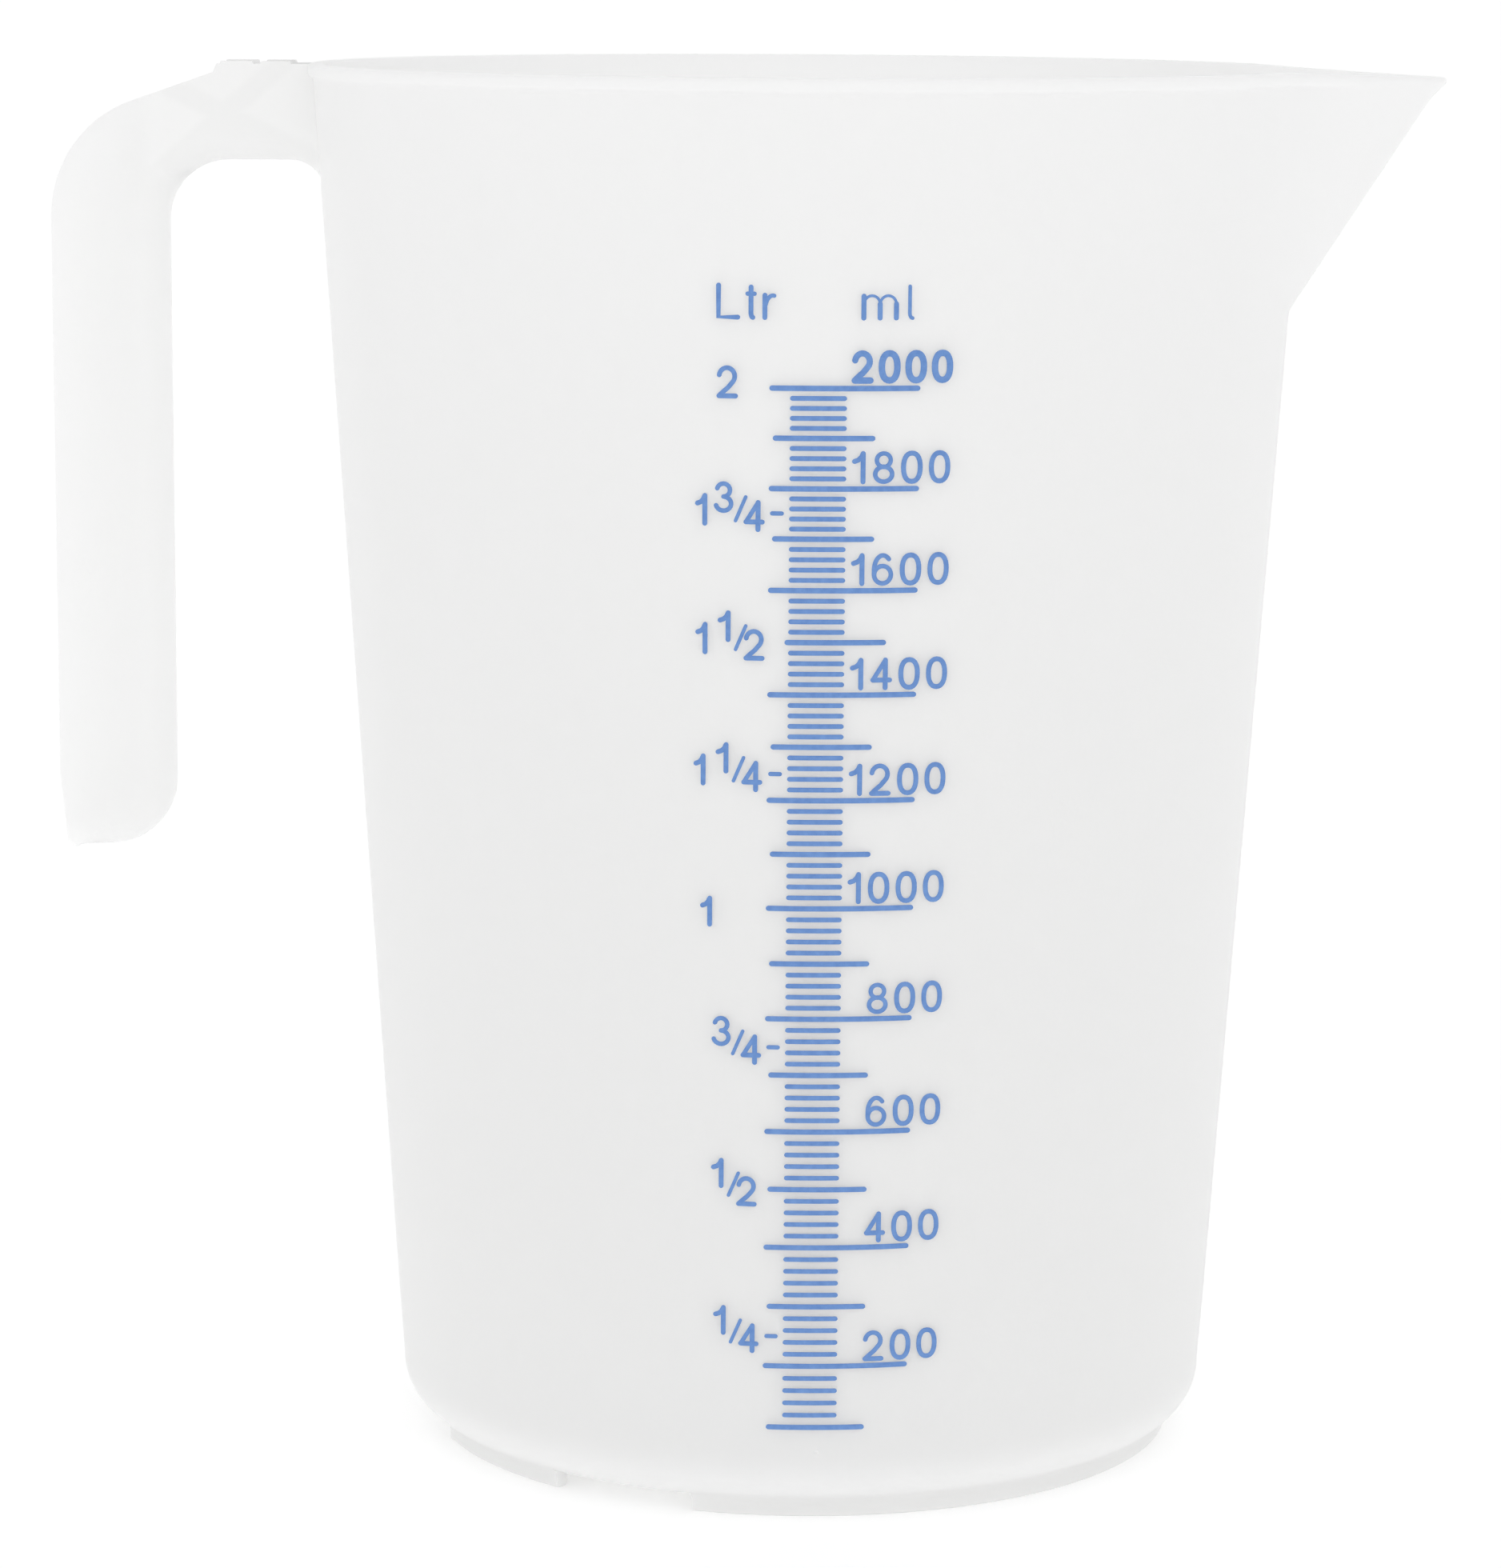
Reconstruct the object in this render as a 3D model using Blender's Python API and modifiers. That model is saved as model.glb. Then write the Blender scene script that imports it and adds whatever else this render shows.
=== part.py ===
"""A two-litre measuring jug: one translucent moulding and the graduation lines printed on it.

The moulding is a tapered cup with a V-shaped spout on its +X side, an open handle on its -X side and a broken
foot ring. The lines are printed on the -Y side, at the heights where the cup holds the volumes they stand for.
Lengths are in metres. The origin is on the ground, in the middle of the object's footprint box.
"""

import functools
import math

import bmesh
import bpy
from mathutils import Matrix, Vector

# Cup
RIM_HEIGHT = 0.2042
RIM_RADIUS = 0.0731  # outside of the wall where it meets the rim
BASE_RADIUS = 0.0600  # the same cone carried down to the ground
WALL = 0.0018
CORNER_RADIUS = 0.0073  # outside, between wall and underside
UNDERSIDE = 0.0022  # how far the foot ring lifts the cup
FLOOR = 0.0022
DOME = 0.0024  # rise of the floor towards its centre
BEAD_OUT = 0.0007
BEAD_HEIGHT = 0.0020
BEAD_FADE = (math.radians(9), math.radians(15))  # azimuths between which it fades out on the spout

# Foot ring
FOOT_RADIUS = 0.0558
FOOT_WIDTH = 0.0020
FOOT_GAPS = ((118.2, 23.2), (180.0, 38.6), (-118.2, 23.2))  # drain gaps: middle and width, degrees from +X

# Spout
SPOUT_REACH = 0.0936  # from the cup's axis to the tip
SPOUT_DEPTH = 0.0362  # from the rim down to where the keel leaves the wall
SPOUT_HALF_WIDTH = 0.0274
SPOUT_DIP = 0.0012  # the tip lies this much lower than the rim
KEEL_SLOPE = 0.645  # outward run over rise
LIP_FLARE = 0.0006  # extra reach over the last few millimetres
LIP_HEIGHT = 0.0045
NOSE_RADIUS = 0.0016
CREASE_BLEND = 0.0010

# Handle: a channel that opens outwards. Its side outline's places are measured from the cup's axis.
HANDLE_REACH = 0.1114
HANDLE_WIDTH = 0.0112
HANDLE_WALL = 0.0018
GRIP_INSIDE = 0.0945  # finger side of the grip
GRIP_BOTTOM = 0.0874
GRIP_END_RADIUS = 0.0101
GRIP_TAPER = 0.0010
TAPER_HEIGHT = 0.0115
ARM_UNDERSIDE = 0.1899
ARM_TOP = 0.2028  # where the arm's sloping edge ends, at the step up to the shoulder's level part
STEP_REACH = 0.0875
FINGER_RADIUS = 0.0089  # inside bend between grip and arm
ROOT_RADIUS = 0.0050  # inside bend between arm and cup
ROOT_SINK = 0.0003  # how far the bend dips into the wall
SHOULDER_RADIUS = 0.0180  # outside bend
SHOULDER_SLOPE = math.radians(19.5)
EDGE_RADIUS = 0.0053  # rounding of the finger side
LAND_HEIGHT = 0.0004  # two low lands on the level part
LAND_ENDS = ((0.0865, 0.0815), (0.0805, 0.0760))
LEVEL_TOP = RIM_HEIGHT - 0.0002
RIB_THICKNESS = 0.0018
RIB_LINES = (((-0.0700, 0.1890), (-0.0905, 0.1991)), ((-0.0775, 0.2040), (-0.0945, 0.1890)))  # XZ ends
GUSSET = ((-0.0720, 0.1895), (-0.0857, 0.1967), (-0.0940, 0.1895))
INWARD = 0.0660  # the handle's solids run in to this distance from the axis before they are trimmed

# Printed scale
LITRES_FULL = 2.0
INK_GAP = 0.00005
INK_THICKNESS = 0.00015
LONG_LINE = (-0.0060, 0.0145)  # both ends, along the wall from the middle of the -Y side
MEDIUM_LINE = (-0.0055, 0.0084)
DASH = (-0.0058, -0.0039)
LINE_HEIGHT = 0.0009

# Mesh steps
SPOUT_STEP = 3.0  # degrees between columns across the spout
WALL_STEP = 6.0  # degrees between columns elsewhere
SPOUT_SECTOR = 30.0  # degrees to each side of +X that take the finer step

AXIS_X = (HANDLE_REACH - SPOUT_REACH) / 2  # puts the footprint box's middle at the origin
DRAFT = (RIM_RADIUS - BASE_RADIUS) / RIM_HEIGHT
NODES = bpy.data.collections.new("measuring_jug")
CUTTERS = bpy.data.collections.new("cutters")


def clear_scene():
    for obj in list(bpy.data.objects):
        bpy.data.objects.remove(obj, do_unlink=True)
    for collection in (NODES, CUTTERS):
        bpy.context.scene.collection.children.link(collection)


def material(name, colour, roughness, transmission=0.0):
    made = bpy.data.materials.new(name)
    made.use_nodes = True
    shader = made.node_tree.nodes["Principled BSDF"]
    shader.inputs["Base Color"].default_value = (*colour, 1.0)
    shader.inputs["Roughness"].default_value = roughness
    shader.inputs["Metallic"].default_value = 0.0
    shader.inputs["Transmission Weight"].default_value = transmission
    made.diffuse_color = (*colour, 1.0)
    return made


def object_from(bm, name, collection, look=None):
    mesh = bpy.data.meshes.new(name)
    bmesh.ops.recalc_face_normals(bm, faces=bm.faces)
    bm.to_mesh(mesh)
    bm.free()
    mesh.shade_smooth()
    mesh.set_sharp_from_angle(angle=math.radians(35))
    if look:
        mesh.materials.append(look)
    obj = bpy.data.objects.new(name, mesh)
    obj.location.x = AXIS_X
    collection.objects.link(obj)
    return obj


def helper(bm, name):
    obj = object_from(bm, name, CUTTERS)
    obj.hide_render = True
    obj.display_type = "WIRE"
    return obj


def boolean(obj, other, operation):
    modifier = obj.modifiers.new(f"{operation.lower()}_{other.name}", "BOOLEAN")
    modifier.operation = operation
    modifier.object = other


def wall_radius(z):
    return BASE_RADIUS + DRAFT * z


def keel_reach(z):
    """How far the spout's keel stands from the axis at height z."""
    start = RIM_HEIGHT - SPOUT_DEPTH
    reach = wall_radius(start) + KEEL_SLOPE * (z - start)
    lip = max(0.0, z - (RIM_HEIGHT - LIP_HEIGHT)) / LIP_HEIGHT
    return min(reach + LIP_FLARE * lip * lip, SPOUT_REACH)


def spout_bulge(angle, z, inset):
    """How far the spout's side stands proud of the wall at this azimuth.

    A horizontal section of the spout is a V with a rounded nose. Its half width follows a quarter ellipse, so
    the creases run down from the rim and turn in under the keel.
    """
    drop = (RIM_HEIGHT - z) / SPOUT_DEPTH
    half_width = SPOUT_HALF_WIDTH * math.sqrt(1 - drop * drop)
    crease = math.sqrt(wall_radius(z) ** 2 - half_width**2)
    nose = min(NOSE_RADIUS, half_width / 4)
    slope = (keel_reach(z) - crease) / (math.hypot(half_width, nose) - nose)
    r = wall_radius(z)
    for _ in range(25):
        away = math.hypot(r * math.sin(angle), nose)
        lean = slope * r * math.sin(angle) / away
        r = (keel_reach(z) - slope * (away - nose) - inset * math.hypot(1, lean)) / math.cos(angle)
    return r - (wall_radius(z) - inset)


@functools.cache
def crease_angle(z, inset):
    """Azimuth at which the spout's side meets the wall, or 0 where there is no spout."""
    if z <= RIM_HEIGHT - SPOUT_DEPTH or spout_bulge(0.0, z, inset) <= 0:
        return 0.0
    step = math.radians(0.5)
    angle = step
    while spout_bulge(angle, z, inset) > 0:
        angle += step
    inner, outer = angle - step, angle
    for _ in range(20):
        middle = (inner + outer) / 2
        inner, outer = (middle, outer) if spout_bulge(middle, z, inset) > 0 else (inner, middle)
    return inner


def section_radius(angle, z, inset=0.0):
    """Distance from the axis to the cup's skin: wall or spout, with a small round in the crease between."""
    wall = wall_radius(z) - inset
    crease = crease_angle(z, inset)
    angle = abs(angle)
    if angle >= 2 * crease:
        return wall
    bulge = spout_bulge(angle, z, inset) if angle < crease else -spout_bulge(2 * crease - angle, z, inset)
    blend = min(CREASE_BLEND, spout_bulge(0.0, z, inset) / 4)
    return wall + (bulge + math.hypot(bulge, blend)) / 2


def dip(angle, z):
    """How much the spout's edge is lowered towards its tip."""
    rise = max(0.0, z - (RIM_HEIGHT - LIP_HEIGHT)) / LIP_HEIGHT
    share = max(0.0, 1 - abs(angle) / math.radians(22.0))
    return SPOUT_DIP * rise * share


def column_angles():
    """Azimuths of the mesh columns, closer together across the spout."""
    angles = []
    angle = -180.0
    while angle < 180.0 - 1e-6:
        angles.append(math.radians(angle))
        angle += SPOUT_STEP if -SPOUT_SECTOR <= angle < SPOUT_SECTOR else WALL_STEP
    return angles


def bead_offset(angle, z):
    """How far the rim bead stands proud: a flat band with rounded edges that fades out on the spout."""
    depth = (RIM_HEIGHT - z) / BEAD_HEIGHT
    if not 0 <= depth <= 1:
        return 0.0
    share = min(1.0, max(0.0, (abs(angle) - BEAD_FADE[0]) / (BEAD_FADE[1] - BEAD_FADE[0])))
    return BEAD_OUT * share * (1 - abs(2 * depth - 1) ** 4)


def skin_levels():
    """The cup's skin from the centre of its underside, up the outside, over the rim and down to the floor.

    Each level is (height, inset, radius): a turned level has a radius, and a wall level has None.
    """
    tilt = math.atan(DRAFT)
    bend_centre = wall_radius(UNDERSIDE + CORNER_RADIUS) - CORNER_RADIUS / math.cos(tilt)
    flat_outside = bend_centre
    levels = [(UNDERSIDE + DOME * (1 - share**2), 0.0, flat_outside * share) for share in (0.3, 0.65, 1.0)]
    for step in range(1, 6):
        turn = math.radians(90) * (1 - step / 5) - tilt * step / 5
        levels.append(
            (
                UNDERSIDE + CORNER_RADIUS - CORNER_RADIUS * math.sin(turn),
                0.0,
                bend_centre + CORNER_RADIUS * math.cos(turn),
            )
        )
    spout_start = RIM_HEIGHT - SPOUT_DEPTH
    shares = (0.0, 0.04, 0.12, 0.25, 0.42, 0.6, 0.78, 0.9)
    wall_heights = [0.060, 0.115] + [spout_start + SPOUT_DEPTH * share for share in shares]
    levels += [(z, 0.0, None) for z in wall_heights]
    for share in (1.0, 0.85, 0.5, 0.15, 0.0):
        levels.append((RIM_HEIGHT - BEAD_HEIGHT * share, 0.0, None))
    levels.append((RIM_HEIGHT, WALL, None))
    levels += [(z, WALL, None) for z in reversed(wall_heights)]
    inside = CORNER_RADIUS - WALL
    top = UNDERSIDE + FLOOR
    inner_centre = wall_radius(top + inside) - WALL - inside / math.cos(tilt)
    for step in range(5):
        turn = -tilt * (1 - step / 4) + math.radians(90) * step / 4
        levels.append((top + inside - inside * math.sin(turn), WALL, inner_centre + inside * math.cos(turn)))
    levels += [(top + DOME * (1 - share**2), WALL, inner_centre * share) for share in (0.65, 0.3)]
    return levels


def cup():
    """The cup, floor and spout as one closed skin, lofted through sections that go from round to V-shaped."""
    bm = bmesh.new()
    angles = column_angles()
    rings = []
    for z, inset, radius in skin_levels():
        ring = []
        for angle in angles:
            if radius is not None:
                r, height = radius, z
            else:
                bead = bead_offset(angle, z) if inset == 0 else 0.0
                r, height = section_radius(angle, z, inset) + bead, z - dip(angle, z)
            ring.append(bm.verts.new((r * math.cos(angle), r * math.sin(angle), height)))
        rings.append(ring)
    for lower, upper in zip(rings, rings[1:]):
        for i in range(len(angles)):
            j = (i + 1) % len(angles)
            bm.faces.new((lower[i], lower[j], upper[j], upper[i]))
    for ring, height in ((rings[0], UNDERSIDE + DOME), (rings[-1], UNDERSIDE + FLOOR + DOME)):
        centre = bm.verts.new((0, 0, height))
        for i in range(len(ring)):
            bm.faces.new((ring[i], ring[(i + 1) % len(ring)], centre))
    return bm


def spun_block(profile, start, end, step):
    """A closed block: a profile of (radius, height) corners swung about the cup's axis between two azimuths."""
    bm = bmesh.new()
    turn = Matrix.Rotation(start, 3, "Z")
    face = bm.faces.new([bm.verts.new(turn @ Vector((r, 0, z))) for r, z in profile])
    bmesh.ops.spin(
        bm,
        geom=[face, *face.edges, *face.verts],
        cent=(0, 0, 0),
        axis=(0, 0, 1),
        angle=end - start,
        steps=max(2, math.ceil((end - start) / step)),
    )
    return bm


def foot_ring():
    """A turned ring that reaches up into the floor, with its drain gaps cut."""
    inner, outer, top = FOOT_RADIUS - FOOT_WIDTH, FOOT_RADIUS, UNDERSIDE + FLOOR / 2
    profile = ((outer + 0.0002, top), (outer, 0), (inner, 0), (inner, top))
    bm = bmesh.new()
    corners = [bm.verts.new((r, 0, z)) for r, z in profile]
    for i in range(len(corners)):
        bm.edges.new((corners[i - 1], corners[i]))
    ring = helper(bm, "foot_ring")
    turn = ring.modifiers.new("turn", "SCREW")
    turn.steps = turn.render_steps = round(360 / WALL_STEP)
    turn.use_merge_vertices = True
    turn.merge_threshold = 0.00001
    near, far, below, above = inner - 0.002, outer + 0.002, -0.001, 0.006
    section = ((near, below), (far, below), (far, above), (near, above))
    for number, (middle, width) in enumerate(FOOT_GAPS):
        start, end = math.radians(middle - width / 2), math.radians(middle + width / 2)
        gap = helper(spun_block(section, start, end, math.radians(WALL_STEP)), f"foot_gap_{number}")
        boolean(ring, gap, "DIFFERENCE")
    return ring


def arc(centre, radius, start, end, steps=5):
    """Points of a round bend in the XZ plane; angles in degrees from +X towards +Z."""
    turns = [math.radians(start + (end - start) * i / steps) for i in range(steps + 1)]
    return [(centre[0] + radius * math.cos(t), centre[1] + radius * math.sin(t)) for t in turns]


def finger_side(inset):
    """The handle's finger side from inside the cup to the grip's lower end, moved inwards by inset."""
    tilt = math.atan(DRAFT)
    root_z = ARM_UNDERSIDE - ROOT_RADIUS
    root = (-(wall_radius(root_z) + ROOT_RADIUS / math.cos(tilt) - ROOT_SINK), root_z)
    bend = (-(GRIP_INSIDE - FINGER_RADIUS), ARM_UNDERSIDE - FINGER_RADIUS)
    end = (-(GRIP_INSIDE + GRIP_END_RADIUS), GRIP_BOTTOM + GRIP_END_RADIUS)
    points = arc(root, ROOT_RADIUS + inset, math.degrees(tilt), 90, 4)
    points += arc(bend, FINGER_RADIUS + inset, 90, 180)
    points += arc(end, GRIP_END_RADIUS - inset, 0, -90)
    return [(-INWARD, points[0][1])] + points


def lofted(outline, half_width, edge_radius):
    """A solid through XZ outlines along Y. outline(inset) gives one, so the finger side's edges are round."""
    turns = [math.radians(90) * step / 4 for step in range(5)]
    slices = [(half_width - edge_radius * (1 - math.sin(t)), edge_radius * (1 - math.cos(t))) for t in turns]
    slices = [(-y, inset) for y, inset in reversed(slices)] + slices
    bm = bmesh.new()
    rings = [[bm.verts.new((x, y, z)) for x, z in outline(inset)] for y, inset in slices]
    for near, far in zip(rings, rings[1:]):
        for i in range(len(near)):
            j = (i + 1) % len(near)
            bm.faces.new((near[j], near[i], far[i], far[j]))
    bm.faces.new(rings[0])
    bm.faces.new(list(reversed(rings[-1])))
    return bm


def handle_solid(shrink):
    """The handle as if it were solid and ran on into the cup, with its skin moved in by shrink."""
    reach = HANDLE_REACH - shrink
    top = ARM_TOP - shrink
    bottom = GRIP_BOTTOM + shrink
    turned = math.degrees(SHOULDER_SLOPE) + 90
    shoulder_x = -(reach - SHOULDER_RADIUS)
    tangent_x = shoulder_x + SHOULDER_RADIUS * math.cos(math.radians(turned))
    tangent_z = top + math.tan(SHOULDER_SLOPE) * (tangent_x + STEP_REACH)
    shoulder_z = tangent_z - SHOULDER_RADIUS * math.sin(math.radians(turned))
    edge = arc((-(reach - GRIP_TAPER - 0.0016), bottom + 0.0018), 0.0016, 260, 185, 3)
    edge.append((-reach, bottom + TAPER_HEIGHT))
    edge += arc((shoulder_x, shoulder_z), SHOULDER_RADIUS, 180, turned, 6)
    edge.append((-STEP_REACH, top))
    level = LEVEL_TOP - shrink
    edge.append((-STEP_REACH + 0.0006, level))
    for outer, inner in LAND_ENDS:
        edge += [(-outer, level), (-outer + 0.0002, level + LAND_HEIGHT)]
        edge += [(-inner - 0.0002, level + LAND_HEIGHT), (-inner, level)]
    edge.append((-INWARD, level))

    def outline(inset):
        return finger_side(inset + shrink) + edge

    return lofted(outline, HANDLE_WIDTH / 2 - shrink, EDGE_RADIUS - shrink)


def handle_hollow():
    """What is cored out of the handle: the inside of a channel that opens outwards and upwards."""
    outside = -(HANDLE_REACH + 0.010)
    above = RIM_HEIGHT + 0.010

    def outline(inset):
        corner = (outside, GRIP_BOTTOM + HANDLE_WALL + inset)
        return [*finger_side(inset + HANDLE_WALL), corner, (outside, above), (-INWARD, above)]

    return lofted(outline, HANDLE_WIDTH / 2 - HANDLE_WALL, EDGE_RADIUS - HANDLE_WALL)


def plate_between(start, end):
    """A flat rib on the line between two XZ points, wide enough to reach into both flanges."""
    along = Vector((end[0] - start[0], 0, end[1] - start[1]))
    middle = Vector(((start[0] + end[0]) / 2, 0, (start[1] + end[1]) / 2))
    turn = Matrix.Rotation(-math.atan2(along.z, along.x), 4, "Y")
    size = Matrix.Diagonal((along.length, HANDLE_WIDTH, RIB_THICKNESS, 1))
    bm = bmesh.new()
    bmesh.ops.create_cube(bm, size=1.0, matrix=Matrix.Translation(middle) @ turn @ size)
    return bm


def gusset():
    """The solid web under the ribs' crossing."""
    bm = bmesh.new()
    face = bm.faces.new([bm.verts.new((x, -HANDLE_WIDTH / 2, z)) for x, z in GUSSET])
    swept = bmesh.ops.extrude_face_region(bm, geom=[face])["geom"]
    far_corners = [v for v in swept if isinstance(v, bmesh.types.BMVert)]
    bmesh.ops.translate(bm, verts=far_corners, vec=(0, HANDLE_WIDTH, 0))
    return bm


def arm_ribs():
    """The braces inside the arm, trimmed to end in the middle of the walls around them."""
    limit = helper(handle_solid(HANDLE_WALL / 2), "rib_limit")
    braces = [plate_between(*line) for line in RIB_LINES] + [gusset()]
    for number, bm in enumerate(braces):
        brace = helper(bm, f"arm_brace_{number}")
        boolean(brace, limit, "INTERSECT")
        yield brace


def cup_bore():
    """A cone at the middle of the wall's thickness, to end the handle there."""
    low, high = ARM_UNDERSIDE - 0.020, RIM_HEIGHT + 0.010
    bm = bmesh.new()
    bmesh.ops.create_cone(
        bm,
        cap_ends=True,
        segments=60,
        radius1=wall_radius(low) - WALL / 2,
        radius2=wall_radius(high) - WALL / 2,
        depth=high - low,
        matrix=Matrix.Translation((0, 0, (low + high) / 2)),
    )
    return bm


def jug_moulding(look):
    handle = helper(handle_solid(0.0), "handle")
    boolean(handle, helper(handle_hollow(), "handle_hollow"), "DIFFERENCE")
    for brace in arm_ribs():
        boolean(handle, brace, "UNION")
    boolean(handle, helper(cup_bore(), "cup_bore"), "DIFFERENCE")
    body = object_from(cup(), "jug_moulding", NODES, look)
    boolean(body, foot_ring(), "UNION")
    boolean(body, handle, "UNION")
    return body


def inner_radius(z):
    """Radius of the cup's inside at height z, with the round between wall and floor."""
    inside = CORNER_RADIUS - WALL
    above = z - (UNDERSIDE + FLOOR)
    rounding = inside - math.sqrt(inside**2 - (inside - above) ** 2) if above < inside else 0.0
    return wall_radius(z) - WALL - rounding


def height_of(litres):
    """The height to which this volume fills the cup."""
    floor_radius = wall_radius(UNDERSIDE + FLOOR) - WALL - (CORNER_RADIUS - WALL)
    dome = math.pi * DOME * floor_radius**2 / 2
    step = 0.0001
    z = UNDERSIDE + FLOOR
    held = -dome
    while held < litres / 1000:
        held += math.pi * inner_radius(z + step / 2) ** 2 * step
        z += step
    return z


def printed_line(name, z, ends, look):
    """A line of ink on the wall at height z, following its taper."""
    low, high = z - LINE_HEIGHT / 2, z + LINE_HEIGHT / 2
    profile = [(wall_radius(h) + INK_GAP + t, h) for h, t in ((low, 0), (low, INK_THICKNESS))]
    profile += [(wall_radius(h) + INK_GAP + t, h) for h, t in ((high, INK_THICKNESS), (high, 0))]
    start, end = (math.radians(-90) + distance / wall_radius(z) for distance in ends)
    object_from(spun_block(profile, start, end, math.radians(3)), name, NODES, look)


def printed_scale(look):
    """A line every 100 ml, longer at each 200 ml, and a dash at each odd quarter litre."""
    for count in range(1, round(LITRES_FULL * 10) + 1):
        ends = MEDIUM_LINE if count % 2 else LONG_LINE
        printed_line(f"line_{count * 100:04d}_ml", height_of(count / 10), ends, look)
    for count in range(1, round(LITRES_FULL * 4), 2):
        printed_line(f"dash_{count * 250:04d}_ml", height_of(count / 4), DASH, look)


def main():
    clear_scene()
    plastic = material("natural_polypropylene", (0.93, 0.93, 0.92), 0.35, transmission=0.6)
    ink = material("blue_ink", (0.13, 0.30, 0.64), 0.5)
    jug_moulding(plastic)
    printed_scale(ink)


main()
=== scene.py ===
"""Looks of the two-litre measuring jug.

A fine mesh of its translucent moulding, the blue printed scale, and a plain white studio. Places are in the
frame's metres, except that the print is laid out in millimetres along the wall.
"""

import functools
import math

import bmesh
import bpy
from mathutils import Matrix, Vector
from mathutils.geometry import delaunay_2d_cdt


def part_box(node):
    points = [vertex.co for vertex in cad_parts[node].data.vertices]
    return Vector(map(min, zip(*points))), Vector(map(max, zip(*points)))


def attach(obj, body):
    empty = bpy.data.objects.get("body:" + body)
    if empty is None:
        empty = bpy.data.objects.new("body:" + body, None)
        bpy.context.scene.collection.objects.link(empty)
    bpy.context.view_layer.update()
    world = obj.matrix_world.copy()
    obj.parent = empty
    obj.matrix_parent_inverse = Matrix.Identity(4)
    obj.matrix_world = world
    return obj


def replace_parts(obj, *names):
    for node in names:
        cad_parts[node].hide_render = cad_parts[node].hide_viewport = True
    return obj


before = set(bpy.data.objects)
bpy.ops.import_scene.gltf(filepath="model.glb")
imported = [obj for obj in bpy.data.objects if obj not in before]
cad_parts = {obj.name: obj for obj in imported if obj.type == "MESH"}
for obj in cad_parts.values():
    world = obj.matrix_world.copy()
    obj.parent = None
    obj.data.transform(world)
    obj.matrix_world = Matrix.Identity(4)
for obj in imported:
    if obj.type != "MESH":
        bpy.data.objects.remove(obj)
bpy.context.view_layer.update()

# Cup, as in the CAD
RIM_HEIGHT = 0.2042
RIM_RADIUS = 0.0731
BASE_RADIUS = 0.0600
WALL = 0.0018
CORNER_RADIUS = 0.0073
UNDERSIDE = 0.0022
FLOOR = 0.0022
DOME = 0.0024
BEAD_OUT = 0.0007
GATE_ALONG = 0.0017  # the stub that the moulding gate leaves: place along the wall, height and size
GATE_HEIGHT = 0.0111
GATE_RADIUS = 0.0005
GATE_PROUD = 0.00015
SLIVER = 2e-6  # an edge shorter than this, or a face narrower, is left over from a union
BEAD_FADE = (math.radians(9), math.radians(15))
FOOT_RADIUS = 0.0558
FOOT_WIDTH = 0.0020
FOOT_EDGE = 0.0004
FOOT_STRAIGHT = 0.00126  # height of the ring's outside below the bend that leads into the cup's corner
FOOT_BEND = 0.0022
FOOT_GAPS = ((118.2, 23.2), (180.0, 38.6), (-118.2, 23.2))

# Spout
SPOUT_REACH = 0.0936
SPOUT_DEPTH = 0.0362
SPOUT_HALF_WIDTH = 0.0274
SPOUT_DIP = 0.0012
KEEL_SLOPE = 0.645
LIP_FLARE = 0.0006
LIP_HEIGHT = 0.0045
NOSE_RADIUS = 0.0016
CREASE_BLEND = 0.0010

# Handle
HANDLE_REACH = 0.1114
HANDLE_WIDTH = 0.0112
HANDLE_WALL = 0.0018
GRIP_INSIDE = 0.0945
GRIP_BOTTOM = 0.0874
GRIP_END_RADIUS = 0.0101
GRIP_TAPER = 0.0010
TAPER_HEIGHT = 0.0115
ARM_UNDERSIDE = 0.1899
ARM_TOP = 0.2028
STEP_REACH = 0.0875
FINGER_RADIUS = 0.0089
ROOT_RADIUS = 0.0050
ROOT_SINK = 0.0003
SHOULDER_RADIUS = 0.0180
SHOULDER_SLOPE = math.radians(19.5)
EDGE_RADIUS = 0.0053
LAND_HEIGHT = 0.0004
LAND_ENDS = ((0.0865, 0.0815), (0.0805, 0.0760))
LEVEL_TOP = RIM_HEIGHT - 0.0002
RIB_THICKNESS = 0.0018
RIB_LINES = (((-0.0700, 0.1890), (-0.0905, 0.1991)), ((-0.0775, 0.2040), (-0.0945, 0.1890)))
GUSSET = ((-0.0720, 0.1895), (-0.0857, 0.1967), (-0.0940, 0.1895))
ROOT_WEB = ((-0.0700, 0.1890), (-0.0857, 0.1967), (-0.0808, 0.2014), (-0.0700, 0.2014))
INWARD = 0.0660

# Mesh columns round the cup
SECTOR = math.radians(36)  # azimuth either side of the spout within which the columns follow its creases
LEAST_CREASE = math.radians(9)
SPOUT_COLUMNS = 22
CREASE_COLUMNS = 12
WALL_COLUMNS = 116

AXIS_X = (HANDLE_REACH - SPOUT_REACH) / 2
DRAFT = (RIM_RADIUS - BASE_RADIUS) / RIM_HEIGHT

# Print, in millimetres along the wall from the middle of the -Y side, + towards the spout
LONG_LINE = (-6.0, 14.5)
MEDIUM_LINE = (-5.5, 8.4)
TICK = (-3.2, 4.5)
DASH = (-5.8, -3.9)
ODD_LINE = 1500  # this line is printed further to the right than its fellows
ODD_LINE_ENDS = (-3.7, 10.2)
LINE_WEIGHT = 0.74  # stroke widths
TICK_WEIGHT = 0.66
DASH_WEIGHT = 0.60
WEIGHT = 0.68
BOLD_WEIGHT = 0.88
SLASH_WEIGHT = 0.62
TICKS_PER_STEP = 4
DIGIT_HEIGHT = 4.55
DIGIT_WIDTH = 3.0
ONE_WIDTH = 1.85
ONE_SHIFT = 1.05  # how far right of a digit's place a 1 starts
DIGIT_LIFT = 0.65  # from a line up to its numeral
UNITS_LIFT = 9.2  # from the top line up to the unit letters
INK_GAP = 0.00003
INK_THICKNESS = 0.00009

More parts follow.
